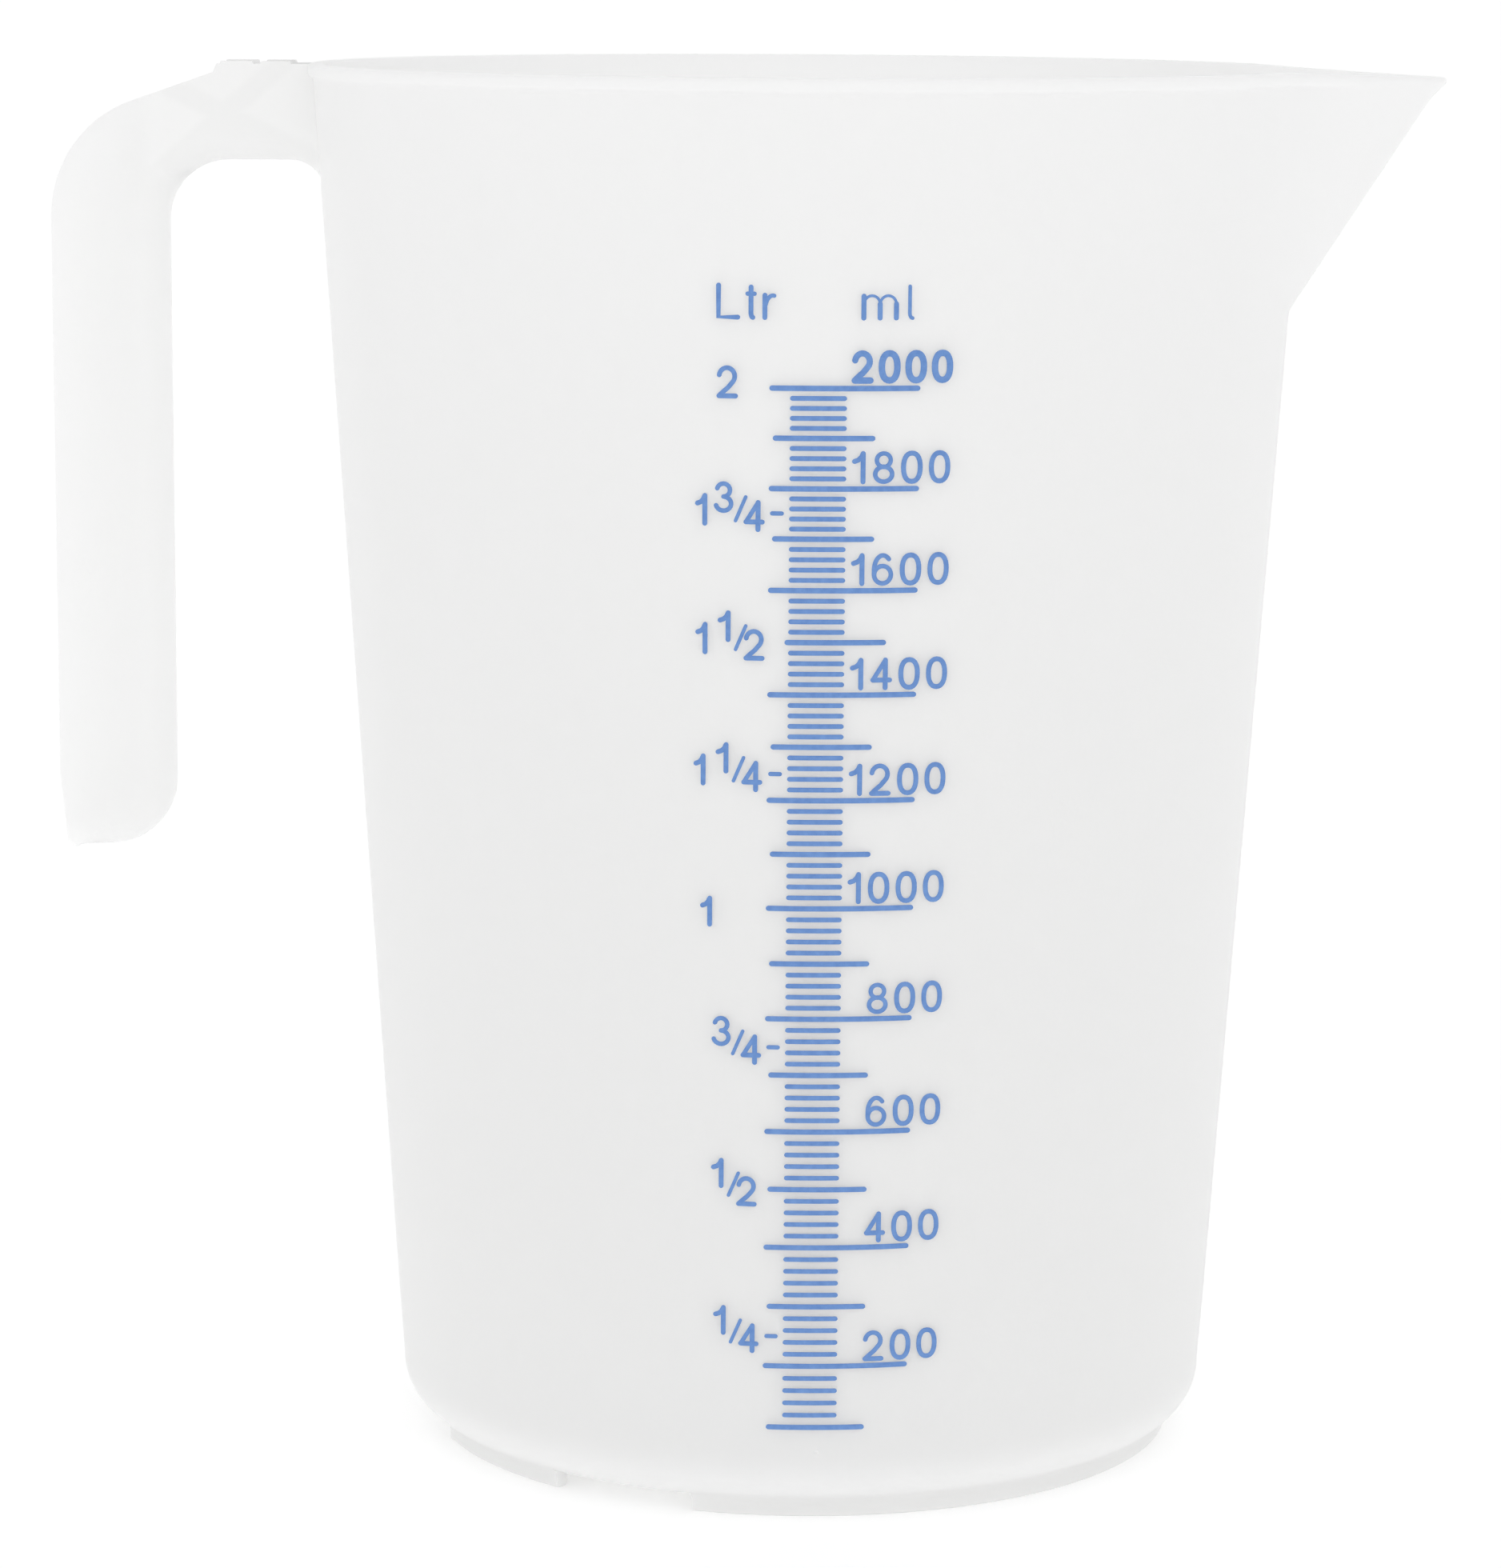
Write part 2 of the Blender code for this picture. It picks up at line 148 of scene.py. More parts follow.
# Plastic: shade painted into the colour by place: where each painted shade starts and is full, in world X or
# Z, and the painted greys themselves
ARM_BESIDE_CUP = (-0.0600, -0.0650)
ARM_BEFORE_GRIP = (-0.0900, -0.0850)
ARM_ABOVE = (0.1870, 0.1900)
RIB_EDGE = (0.0022, 0.0008)  # distance from a rib's middle
UNDER_RIBS = (0.0005, -0.0010)  # distance above a rib's middle
FOOT_SHADE = (0.0085, 0.0010)
SPOUT_SHADE = (0.0600, 0.0750)
# Painted shade: the arm, which scatters no light inside, is made greyer
ARM_PAINTED_SHADE = 0.92
# Painted shade: the ribs and the part below them darker, where thick plastic lets less light through
RIB_PAINTED_SHADE = 0.895
# Painted shade: the foot darker towards the floor, in place of the shade under the jug
FOOT_PAINTED_SHADE = 0.78
# Painted shade: the spout darker, to hold down the light its thin walls let through
SPOUT_PAINTED_SHADE = 0.93
WARMTH = 0.003  # how much less blue than red the greys have
TINTS = ((0.976, 0.976, 0.973, 1), (0.986, 0.986, 0.983, 1))
SCATTER = 0.010  # how far light spreads inside the plastic
INKS = ((0.105, 0.235, 0.560, 1), (0.150, 0.300, 0.640, 1))

# Studio
HORIZON = 0.99  # brightness of the surround, level with the object and overhead
ZENITH = 0.81
FRONT = 0.14  # how much brighter it is towards the camera's side
SIDES = 0.16  # how much darker it is to the left and right
FLOOR_GLOW = 0.20
FLOOR_REACH = 30.0
BOUNCES = 32
CAMERA_PLACE = (0.00069, -0.75334, 0.22225)
CAMERA_PITCH = math.radians(90 - 9.45)
CAMERA_ROLL = math.radians(0.35)
CAMERA_LENS = 121.59


# ---------------------------------------------------------------- cup and spout


def wall_radius(z):
    return BASE_RADIUS + DRAFT * z


def keel_reach(z):
    start = RIM_HEIGHT - SPOUT_DEPTH
    reach = wall_radius(start) + KEEL_SLOPE * (z - start)
    lip = max(0.0, z - (RIM_HEIGHT - LIP_HEIGHT)) / LIP_HEIGHT
    return min(reach + LIP_FLARE * lip * lip, SPOUT_REACH)


def spout_bulge(angle, z, inset):
    """How far the spout's side stands proud of the wall at this azimuth: a V with a rounded nose."""
    drop = (RIM_HEIGHT - z) / SPOUT_DEPTH
    half_width = SPOUT_HALF_WIDTH * math.sqrt(1 - drop * drop)
    crease = math.sqrt(wall_radius(z) ** 2 - half_width**2)
    nose = min(NOSE_RADIUS, half_width / 4)
    slope = (keel_reach(z) - crease) / (math.hypot(half_width, nose) - nose)
    r = wall_radius(z)
    for _ in range(25):
        away = math.hypot(r * math.sin(angle), nose)
        lean = slope * r * math.sin(angle) / away
        r = (keel_reach(z) - slope * (away - nose) - inset * math.hypot(1, lean)) / math.cos(angle)
    return r - (wall_radius(z) - inset)


@functools.cache
def crease_angle(z, inset):
    """Azimuth at which the spout's side meets the wall, or 0 where there is no spout."""
    if z <= RIM_HEIGHT - SPOUT_DEPTH or spout_bulge(0.0, z, inset) <= 0:
        return 0.0
    step = math.radians(0.5)
    angle = step
    while spout_bulge(angle, z, inset) > 0:
        angle += step
    inner, outer = angle - step, angle
    for _ in range(20):
        middle = (inner + outer) / 2
        inner, outer = (middle, outer) if spout_bulge(middle, z, inset) > 0 else (inner, middle)
    return inner


def section_radius(angle, z, inset):
    """Distance from the axis to the cup's skin: wall or spout, with a small round in the crease between."""
    wall = wall_radius(z) - inset
    crease = crease_angle(z, inset)
    angle = abs(angle)
    if angle >= 2 * crease:
        return wall
    bulge = spout_bulge(angle, z, inset) if angle < crease else -spout_bulge(2 * crease - angle, z, inset)
    blend = min(CREASE_BLEND, spout_bulge(0.0, z, inset) / 4)
    return wall + (bulge + math.hypot(bulge, blend)) / 2


def dip(angle, z):
    """How much the spout's edge is lowered towards its tip."""
    rise = max(0.0, z - (RIM_HEIGHT - LIP_HEIGHT)) / LIP_HEIGHT
    share = max(0.0, 1 - abs(angle) / math.radians(22.0))
    return SPOUT_DIP * rise * share


def column_angles(z, inset):
    """Azimuths of one level's points: close together at the nose and on both sides of the creases."""
    crease = LEAST_CREASE if z is None else max(crease_angle(z, inset), LEAST_CREASE)
    half = [crease * (1 - math.cos(math.pi * i / SPOUT_COLUMNS)) / 2 for i in range(SPOUT_COLUMNS + 1)]
    half += [crease + (SECTOR - crease) * (i / CREASE_COLUMNS) ** 1.6 for i in range(1, CREASE_COLUMNS + 1)]
    rest = 2 * math.pi - 2 * SECTOR
    around = [SECTOR + rest * i / WALL_COLUMNS for i in range(1, WALL_COLUMNS)]
    return half + around + [-a for a in reversed(half[1:])]


def bead_share(angle):
    angle = abs((angle + math.pi) % (2 * math.pi) - math.pi)
    share = min(1.0, max(0.0, (angle - BEAD_FADE[0]) / (BEAD_FADE[1] - BEAD_FADE[0])))
    return share * share * (3 - 2 * share)


def rim_levels():
    """The rim's section: (drop below the rim, inset, share of the bead), up, over and down the inside."""
    yield from ((0.00280, 0.0, 0.0), (0.00235, 0.0, 0.04), (0.00205, 0.0, 0.25), (0.00190, 0.0, 0.62))
    yield from ((0.00172, 0.0, 0.90), (0.00145, 0.0, 1.0), (0.00090, 0.0, 1.0), (0.00050, 0.0, 0.97))
    yield from ((0.00024, 0.00008, 0.90), (0.00009, 0.00024, 0.75), (0.0, 0.00050, 0.55), (0.0, 0.0010, 0.2))
    yield from ((0.00004, WALL - 0.00035, 0.0), (0.00018, WALL - 0.00012, 0.0), (0.00045, WALL, 0.0))


def arc_levels(centre_r, centre_z, radius, start, end, steps):
    """(height, radius) round a turned bend."""
    for step in range(steps + 1):
        turn = start + (end - start) * step / steps
        yield (centre_z - radius * math.sin(turn), centre_r + radius * math.cos(turn))


def skin_levels():
    """(height, inset, radius, bead share) from the centre of the underside, up, over the rim and down.

    A turned level has a radius, and a wall level leaves it to the section.
    """
    tilt = math.atan(DRAFT)
    bend = wall_radius(UNDERSIDE + CORNER_RADIUS) - CORNER_RADIUS / math.cos(tilt)
    levels = [(UNDERSIDE + DOME * (1 - s * s), 0.0, bend * s, 0.0) for s in (0.12, 0.3, 0.5, 0.7, 0.86)]
    up = arc_levels(bend, UNDERSIDE + CORNER_RADIUS, CORNER_RADIUS, math.radians(90), -tilt, 12)
    levels += [(z, 0.0, r, 0.0) for z, r in up]
    start = RIM_HEIGHT - SPOUT_DEPTH
    lip = 0.0028
    heights = [0.020, 0.040, 0.062, 0.085, 0.108, 0.130, 0.148, 0.160]
    steps = 30
    heights += [start + (SPOUT_DEPTH - lip) * (i / steps) ** 1.25 for i in range(steps)]
    levels += [(z, 0.0, None, 0.0) for z in heights]
    levels += [(RIM_HEIGHT - drop, inset, None, bead) for drop, inset, bead in rim_levels()]
    levels += [(RIM_HEIGHT - 0.0012, WALL, None, 0.0)]
    levels += [(z, WALL, None, 0.0) for z in reversed(heights)]
    inside = CORNER_RADIUS - WALL
    top = UNDERSIDE + FLOOR
    inner = wall_radius(top + inside) - WALL - inside / math.cos(tilt)
    down = arc_levels(inner, top + inside, inside, -tilt, math.radians(90), 10)
    levels += [(z, WALL, r, 0.0) for z, r in down]
    levels += [(top + DOME * (1 - s * s), WALL, inner * s, 0.0) for s in (0.86, 0.7, 0.5, 0.3, 0.12)]
    return levels


def cup_mesh():
    """The cup, floor and spout as one closed skin, lofted through its levels."""
    bm = bmesh.new()
    rings = []
    for z, inset, radius, bead in skin_levels():
        ring = []
        for angle in column_angles(None if radius is not None else z, inset):
            r, height = radius, z
            if radius is None:
                signed = (angle + math.pi) % (2 * math.pi) - math.pi
                r = section_radius(signed, z, inset) + BEAD_OUT * bead * bead_share(angle)
                height = z - dip(signed, z)
            ring.append(bm.verts.new((r * math.cos(angle), r * math.sin(angle), height)))
        rings.append(ring)
    for lower, upper in zip(rings, rings[1:]):
        for i in range(len(lower)):
            j = (i + 1) % len(lower)
            bm.faces.new((lower[i], lower[j], upper[j], upper[i]))
    for ring, height in ((rings[0], UNDERSIDE + DOME), (rings[-1], UNDERSIDE + FLOOR + DOME)):
        centre = bm.verts.new((0, 0, height))
        for i in range(len(ring)):
            bm.faces.new((ring[i], ring[(i + 1) % len(ring)], centre))
    return bm


# ---------------------------------------------------------------- foot ring and handle


def object_from(bm, name):
    mesh = bpy.data.meshes.new(name)
    bmesh.ops.recalc_face_normals(bm, faces=bm.faces)
    bm.to_mesh(mesh)
    bm.free()
    obj = bpy.data.objects.new(name, mesh)
    bpy.context.scene.collection.objects.link(obj)
    return obj


def boolean(obj, other, operation):
    modifier = obj.modifiers.new(operation, "BOOLEAN")
    modifier.operation = operation
    modifier.object = other
    modifier.solver = "EXACT"


def swept_ring(profile, start, end, step):
    """A profile of (radius, height) corners swung about the axis; a whole turn closes on itself."""
    bm = bmesh.new()
    whole = end - start > 2 * math.pi - 1e-6
    steps = math.ceil((end - start) / step)
    rings = []
    for i in range(steps + (0 if whole else 1)):
        turn = Matrix.Rotation(start + (end - start) * i / steps, 3, "Z")
        rings.append([bm.verts.new(turn @ Vector((r, 0, z))) for r, z in profile])
    for i in range(steps):
        near, far = rings[i], rings[(i + 1) % len(rings)]
        for a in range(len(profile)):
            b = (a + 1) % len(profile)
            bm.faces.new((near[a], near[b], far[b], far[a]))
    if not whole:
        bm.faces.new(rings[0])
        bm.faces.new(list(reversed(rings[-1])))
    return bm


def foot_profile():
    """The ring's section: both lower edges are rounded, and the outside bends out into the cup's corner."""
    inner, outer, top = FOOT_RADIUS - FOOT_WIDTH, FOOT_RADIUS, UNDERSIDE + FLOOR / 2
    points = [(inner - 0.0002, top)]
    points += [(inner + FOOT_EDGE * (1 - math.cos(t)), FOOT_EDGE * (1 - math.sin(t))) for t in quarter(4)]
    points += [(outer - FOOT_EDGE * (1 - math.sin(t)), FOOT_EDGE * (1 - math.cos(t))) for t in quarter(4)]
    points += arc((outer + FOOT_BEND, FOOT_STRAIGHT), FOOT_BEND, 180, 118, 6)
    points.append((points[-1][0], top + 0.0003))
    return points


def quarter(steps):
    return [math.radians(90) * i / steps for i in range(steps + 1)]


def foot_ring():
    """The ring and the blocks that cut its drain gaps, the ring first."""
    step = math.radians(2)
    ring = object_from(swept_ring(foot_profile(), 0, 2 * math.pi, step), "foot_ring")
    low, high = FOOT_RADIUS - FOOT_WIDTH - 0.002, FOOT_RADIUS + 0.002
    section = ((low, -0.001), (high, -0.001), (high, 0.006), (low, 0.006))
    made = [ring]
    for number, (middle, width) in enumerate(FOOT_GAPS):
        ends = (math.radians(middle - width / 2), math.radians(middle + width / 2))
        gap = object_from(swept_ring(section, *ends, step), f"foot_gap_{number}")
        boolean(ring, gap, "DIFFERENCE")
        made.append(gap)
    return made


def arc(centre, radius, start, end, steps):
    turns = [math.radians(start + (end - start) * i / steps) for i in range(steps + 1)]
    return [(centre[0] + radius * math.cos(t), centre[1] + radius * math.sin(t)) for t in turns]


def finger_side(inset):
    """The handle's finger side from inside the cup to the grip's lower end, moved inwards by inset."""
    tilt = math.atan(DRAFT)
    root_z = ARM_UNDERSIDE - ROOT_RADIUS
    root = (-(wall_radius(root_z) + ROOT_RADIUS / math.cos(tilt) - ROOT_SINK), root_z)
    bend = (-(GRIP_INSIDE - FINGER_RADIUS), ARM_UNDERSIDE - FINGER_RADIUS)
    end = (-(GRIP_INSIDE + GRIP_END_RADIUS), GRIP_BOTTOM + GRIP_END_RADIUS)
    points = arc(root, ROOT_RADIUS + inset, math.degrees(tilt), 90, 10)
    points += arc(bend, FINGER_RADIUS + inset, 90, 180, 14)
    points += arc(end, GRIP_END_RADIUS - inset, 0, -90, 14)
    return [(-INWARD, points[0][1])] + points


def lofted(outline, half_width, edge_radius):
    """A solid through XZ outlines along Y, whose finger side's edges are round."""
    turns = quarter(9)
    slices = [(half_width - edge_radius * (1 - math.sin(t)), edge_radius * (1 - math.cos(t))) for t in turns]
    slices = [(-y, inset) for y, inset in reversed(slices)] + slices
    bm = bmesh.new()
    rings = [[bm.verts.new((x, y, z)) for x, z in outline(inset)] for y, inset in slices]
    for near, far in zip(rings, rings[1:]):
        for i in range(len(near)):
            j = (i + 1) % len(near)
            bm.faces.new((near[j], near[i], far[i], far[j]))
    bm.faces.new(rings[0])
    bm.faces.new(list(reversed(rings[-1])))
    return bm


def handle_solid(shrink):
    """The handle as if it were solid and ran on into the cup, with its skin moved in by shrink."""
    reach = HANDLE_REACH - shrink
    top = ARM_TOP - shrink
    bottom = GRIP_BOTTOM + shrink
    turned = math.degrees(SHOULDER_SLOPE) + 90
    shoulder_x = -(reach - SHOULDER_RADIUS)
    tangent_x = shoulder_x + SHOULDER_RADIUS * math.cos(math.radians(turned))
    tangent_z = top + math.tan(SHOULDER_SLOPE) * (tangent_x + STEP_REACH)
    shoulder_z = tangent_z - SHOULDER_RADIUS * math.sin(math.radians(turned))
    edge = arc((-(reach - GRIP_TAPER - 0.0016), bottom + 0.0018), 0.0016, 260, 185, 6)
    edge.append((-reach, bottom + TAPER_HEIGHT))
    edge += arc((shoulder_x, shoulder_z), SHOULDER_RADIUS, 180, turned, 18)
    edge.append((-STEP_REACH, top))
    level = LEVEL_TOP - shrink
    edge.append((-STEP_REACH + 0.0006, level))
    for outer, inner in LAND_ENDS:
        edge += [(-outer, level), (-outer + 0.0002, level + LAND_HEIGHT)]
        edge += [(-inner - 0.0002, level + LAND_HEIGHT), (-inner, level)]
    edge.append((-INWARD, level))

    def outline(inset):
        return finger_side(inset + shrink) + edge

    return lofted(outline, HANDLE_WIDTH / 2 - shrink, EDGE_RADIUS - shrink)


def handle_hollow():
    """The inside of the channel, which opens outwards and upwards."""
    outside = -(HANDLE_REACH + 0.010)
    above = RIM_HEIGHT + 0.010

    def outline(inset):
        corner = (outside, GRIP_BOTTOM + HANDLE_WALL + inset)
        return [*finger_side(inset + HANDLE_WALL), corner, (outside, above), (-INWARD, above)]

    return lofted(outline, HANDLE_WIDTH / 2 - HANDLE_WALL, EDGE_RADIUS - HANDLE_WALL)


def plate_between(start, end):
    """A flat rib on the line between two XZ points."""
    along = Vector((end[0] - start[0], 0, end[1] - start[1]))
    middle = Vector(((start[0] + end[0]) / 2, 0, (start[1] + end[1]) / 2))
    turn = Matrix.Rotation(-math.atan2(along.z, along.x), 4, "Y")
    size = Matrix.Diagonal((along.length, HANDLE_WIDTH, RIB_THICKNESS, 1))
    bm = bmesh.new()
    bmesh.ops.create_cube(bm, size=1.0, matrix=Matrix.Translation(middle) @ turn @ size)
    return bm


def web(outline):
    """A solid web across the channel, from its XZ outline."""
    bm = bmesh.new()
    half = HANDLE_WIDTH / 2
    near = [bm.verts.new((x, -half, z)) for x, z in outline]
    far = [bm.verts.new((x, half, z)) for x, z in outline]
    bm.faces.new(near)
    bm.faces.new(list(reversed(far)))
    for i in range(len(outline)):
        j = (i + 1) % len(outline)
        bm.faces.new((near[j], near[i], far[i], far[j]))
    return bm


def cup_bore():
    """A cone at the middle of the wall's thickness, to end the handle there."""
    low, high, inner = ARM_UNDERSIDE - 0.020, RIM_HEIGHT + 0.010, 0.010
    middle_low, middle_high = wall_radius(low) - WALL / 2, wall_radius(high) - WALL / 2
    profile = ((inner, low), (middle_low, low), (middle_high, high), (inner, high))
    return swept_ring(profile, 0, 2 * math.pi, math.radians(3))


def handle():
    """The handle and its helpers, the handle first."""
    body = object_from(handle_solid(0.0), "handle")
    made = [body]
    for name, bm, operation in (
        ("handle_hollow", handle_hollow(), "DIFFERENCE"),
        ("arm_rib_0", plate_between(*RIB_LINES[0]), "UNION"),
        ("arm_rib_1", plate_between(*RIB_LINES[1]), "UNION"),
        ("arm_gusset", web(GUSSET), "UNION"),
        ("arm_root_web", web(ROOT_WEB), "UNION"),
        ("cup_bore", cup_bore(), "DIFFERENCE"),
    ):
        other = object_from(bm, name)
        made.append(other)
        if operation == "UNION":
            limit = object_from(handle_solid(HANDLE_WALL / 2), f"{name}_limit")
            boolean(other, limit, "INTERSECT")
            made.append(limit)
        boolean(body, other, operation)
    return made


def gate_mark():
    """A low round stub on the front of the wall."""
    angle = math.radians(-90) + GATE_ALONG / wall_radius(GATE_HEIGHT)
    reach = wall_radius(GATE_HEIGHT) + GATE_PROUD - GATE_RADIUS
    place = Matrix.Translation((reach * math.cos(angle), reach * math.sin(angle), GATE_HEIGHT))
    bm = bmesh.new()
    bmesh.ops.create_uvsphere(bm, u_segments=16, v_segments=10, radius=GATE_RADIUS, matrix=place)
    return [object_from(bm, "gate_mark")]


def without_slivers(mesh):
    """Takes out the few faces of no width that the unions leave, which keep a mesh from being closed."""
    bm = bmesh.new()
    bm.from_mesh(mesh)
    bmesh.ops.dissolve_degenerate(bm, dist=SLIVER, edges=bm.edges)
    bm.to_mesh(mesh)
    bm.free()


def moulding():
    """Cup, foot ring and handle joined into one closed mesh."""
    body = object_from(cup_mesh(), "moulding_source")
    helpers = [body]
    for made in (foot_ring(), handle(), gate_mark()):
        boolean(body, made[0], "UNION")
        helpers += made
    bpy.context.view_layer.update()
    mesh = bpy.data.meshes.new_from_object(body.evaluated_get(bpy.context.evaluated_depsgraph_get()))
    for helper in helpers:
        bpy.data.objects.remove(helper, do_unlink=True)
    without_slivers(mesh)
    mesh.name = "moulding"
    mesh.transform(Matrix.Translation((AXIS_X, 0, 0)))
    mesh.shade_smooth()
    mesh.set_sharp_from_angle(angle=math.radians(32))
    obj = bpy.data.objects.new("moulding", mesh)
    bpy.context.scene.collection.objects.link(obj)
    return obj


# ---------------------------------------------------------------- printed scale


def stroke_polygons(points, width, closed=False):
    """Flat quads along a path, with round ends on an open one."""
    path = [Vector(p) for p in points]
    count = len(path)
    polygons = []
    sides = []
    for i, p in enumerate(path):
        before = path[i - 1] if (i or closed) else path[i]
        after = path[(i + 1) % count] if (i < count - 1 or closed) else path[i]
        along = (after - before).normalized()
        across = Vector((-along.y, along.x)) * (width / 2)
        sides.append((p + across, p - across))
    for i in range(count if closed else count - 1):
        a, b = sides[i], sides[(i + 1) % count]
        polygons.append([a[0], a[1], b[1], b[0]])
    if not closed:
        for centre, side, turn in ((path[0], sides[0], 1), (path[-1], sides[-1], -1)):
            arm = side[0] - centre
            cap = [centre + Matrix.Rotation(turn * math.pi * k / 6, 2) @ arm for k in range(7)]
            polygons.append(cap)
    return polygons


def ellipse(cx, cy, rx, ry, start, end, steps, power=2.0):
    """Points on part of a superellipse; angles in degrees."""
    points = []
    for i in range(steps + 1):
        t = math.radians(start + (end - start) * i / steps)
        c, s = math.cos(t), math.sin(t)
        x = cx + rx * math.copysign(abs(c) ** (2 / power), c)
        y = cy + ry * math.copysign(abs(s) ** (2 / power), s)
        points.append((x, y))
    return points


def ring_points(cx, cy, rx, ry, power=2.0):
    return ellipse(cx, cy, rx, ry, 0, 360, 28, power)[:-1]


# Each glyph's strokes as centre lines in a unit box: (points, closed, share of the full stroke width)
GLYPHS = {
    "0": [(ring_points(0.5, 0.5, 0.5, 0.5, 2.3), True, 1.0)],
    "1": [
        ([(1.0, 0.0), (1.0, 1.0)], False, 1.0),
        ([(0.0, 0.72), (0.45, 0.77), (0.8, 0.87), (1.0, 1.0)], False, 1.0),
    ],
    "2": [
        (
            ellipse(0.48, 0.70, 0.47, 0.30, 172, -38, 16) + [(0.55, 0.30), (0.22, 0.13), (0.0, 0.0)],
            False,
            0.95,
        ),
        ([(0.0, 0.0), (1.0, 0.0)], False, 1.0),
    ],
    "3": [
        (ellipse(0.47, 0.76, 0.42, 0.24, 165, -90, 14), False, 0.92),
        (ellipse(0.47, 0.26, 0.50, 0.26, 90, -165, 16), False, 0.92),
    ],
    "4": [
        ([(0.74, 1.0), (0.74, 0.0)], False, 1.0),
        ([(0.74, 1.0), (0.0, 0.28)], False, 0.9),
        ([(0.0, 0.28), (1.0, 0.28)], False, 1.0),
    ],
    "6": [
        (ring_points(0.5, 0.31, 0.5, 0.31), True, 0.92),
        (ellipse(0.52, 0.48, 0.52, 0.52, 48, 180, 14) + [(0.0, 0.31)], False, 0.92),
    ],
    "8": [
        (ring_points(0.5, 0.76, 0.41, 0.24), True, 0.88),
        (ring_points(0.5, 0.265, 0.5, 0.265), True, 0.92),
    ],
    "/": [([(0.0, 0.0), (1.0, 1.0)], False, 0.8)],
    "L": [([(0.0, 1.0), (0.0, 0.0), (1.0, 0.0)], False, 1.0)],
    "t": [
        ([(0.5, 1.0), (0.5, 0.2)] + ellipse(0.78, 0.16, 0.28, 0.16, 190, 270, 4), False, 1.0),
        ([(0.0, 0.78), (1.0, 0.78)], False, 0.9),
    ],
    "r": [
        ([(0.0, 0.0), (0.0, 0.96)], False, 1.0),
        ([(0.0, 0.55)] + ellipse(0.75, 0.35, 0.72, 0.6, 160, 80, 8), False, 0.85),
    ],
    "m": [
        ([(0.0, 0.0), (0.0, 0.96)], False, 1.0),
        (ellipse(0.25, 0.60, 0.25, 0.38, 180, 0, 12), False, 0.55),
        (ellipse(0.75, 0.60, 0.25, 0.38, 180, 0, 12), False, 0.55),
        ([(0.5, 0.0), (0.5, 0.62)], False, 1.0),
        ([(1.0, 0.0), (1.0, 0.62)], False, 1.0),
    ],
    "l": [([(0.25, 1.0), (0.25, 0.16)] + ellipse(0.75, 0.16, 0.5, 0.16, 190, 270, 5), False, 0.8)],
}


def glyph_polygons(glyph, left, bottom, width, height, weight):
    """A glyph's strokes as flat polygons, with its outer edges on the given box, in millimetres."""
    polygons = []
    x0, y0 = left + weight / 2, bottom + weight / 2
    for points, closed, share in GLYPHS[glyph]:
        placed = [(x0 + x * (width - weight), y0 + y * (height - weight)) for x, y in points]
        polygons += stroke_polygons(placed, weight * share, closed)
    return polygons


def line_polygons(ends, z, weight):
    """A horizontal line with round ends, split often enough to follow the wall."""
    start, end = ends[0] + weight / 2, ends[1] - weight / 2
    steps = max(2, round((end - start) / 1.0))
    return stroke_polygons([(start + (end - start) * i / steps, z) for i in range(steps + 1)], weight)


def on_wall(s, z, height):
    """The point at arc s and height z, both in millimetres, and height metres proud of the wall."""
    z = z * 0.001
    angle = -math.pi / 2 + s * 0.001 / wall_radius(z)
    r = wall_radius(z) + height
    return (AXIS_X + r * math.cos(angle), r * math.sin(angle), z)


def ink_piece(name, polygons, look):
    """Joins overlapping polygons into one flat shape and gives it a little thickness on the wall."""
    verts, faces = [], []
    for polygon in polygons:
        turning = sum(a.x * b.y - b.x * a.y for a, b in zip(polygon, [*polygon[1:], polygon[0]]))
        faces.append(list(range(len(verts), len(verts) + len(polygon))))
        verts += polygon if turning > 0 else reversed(polygon)
    points, _, cells, _, _, origins = delaunay_2d_cdt(verts, [], faces, 1, 1e-5)
    cells = [cell for cell, origin in zip(cells, origins) if origin]
    used = sorted({i for cell in cells for i in cell})
    bm = bmesh.new()
    lower = {i: bm.verts.new(on_wall(points[i].x, points[i].y, INK_GAP)) for i in used}
    upper = {i: bm.verts.new(on_wall(points[i].x, points[i].y, INK_GAP + INK_THICKNESS)) for i in used}
    edges = {}
    for cell in cells:
        bm.faces.new([upper[i] for i in cell])
        bm.faces.new([lower[i] for i in reversed(cell)])
        for i, j in zip(cell, [*cell[1:], cell[0]]):
            key = (min(i, j), max(i, j))
            edges.setdefault(key, []).append((i, j))
    for uses in edges.values():
        if len(uses) == 1:
            i, j = uses[0]
            bm.faces.new((upper[j], upper[i], lower[i], lower[j]))
    obj = object_from(bm, name)
    obj.data.materials.append(look)
    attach(obj, "root")
    return obj


def line_height(node):
    """The height in millimetres of the middle of a CAD line."""
    low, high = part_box(node)
    return (low[2] + high[2]) * 500


def numeral(text, z, weight):
    """A right-hand numeral: its last digit ends in one column, and it stands just above its line."""
    pitch, last = (3.66, 16.05) if text == "2000" else (3.88, 15.85)
    polygons = []
    for place, digit in enumerate(reversed(text)):
        left = last - pitch * place
        shift, width = (ONE_SHIFT, ONE_WIDTH) if digit == "1" else (0.0, DIGIT_WIDTH)
        polygons += glyph_polygons(digit, left + shift, z + DIGIT_LIFT, width, DIGIT_HEIGHT, weight)
    return polygons


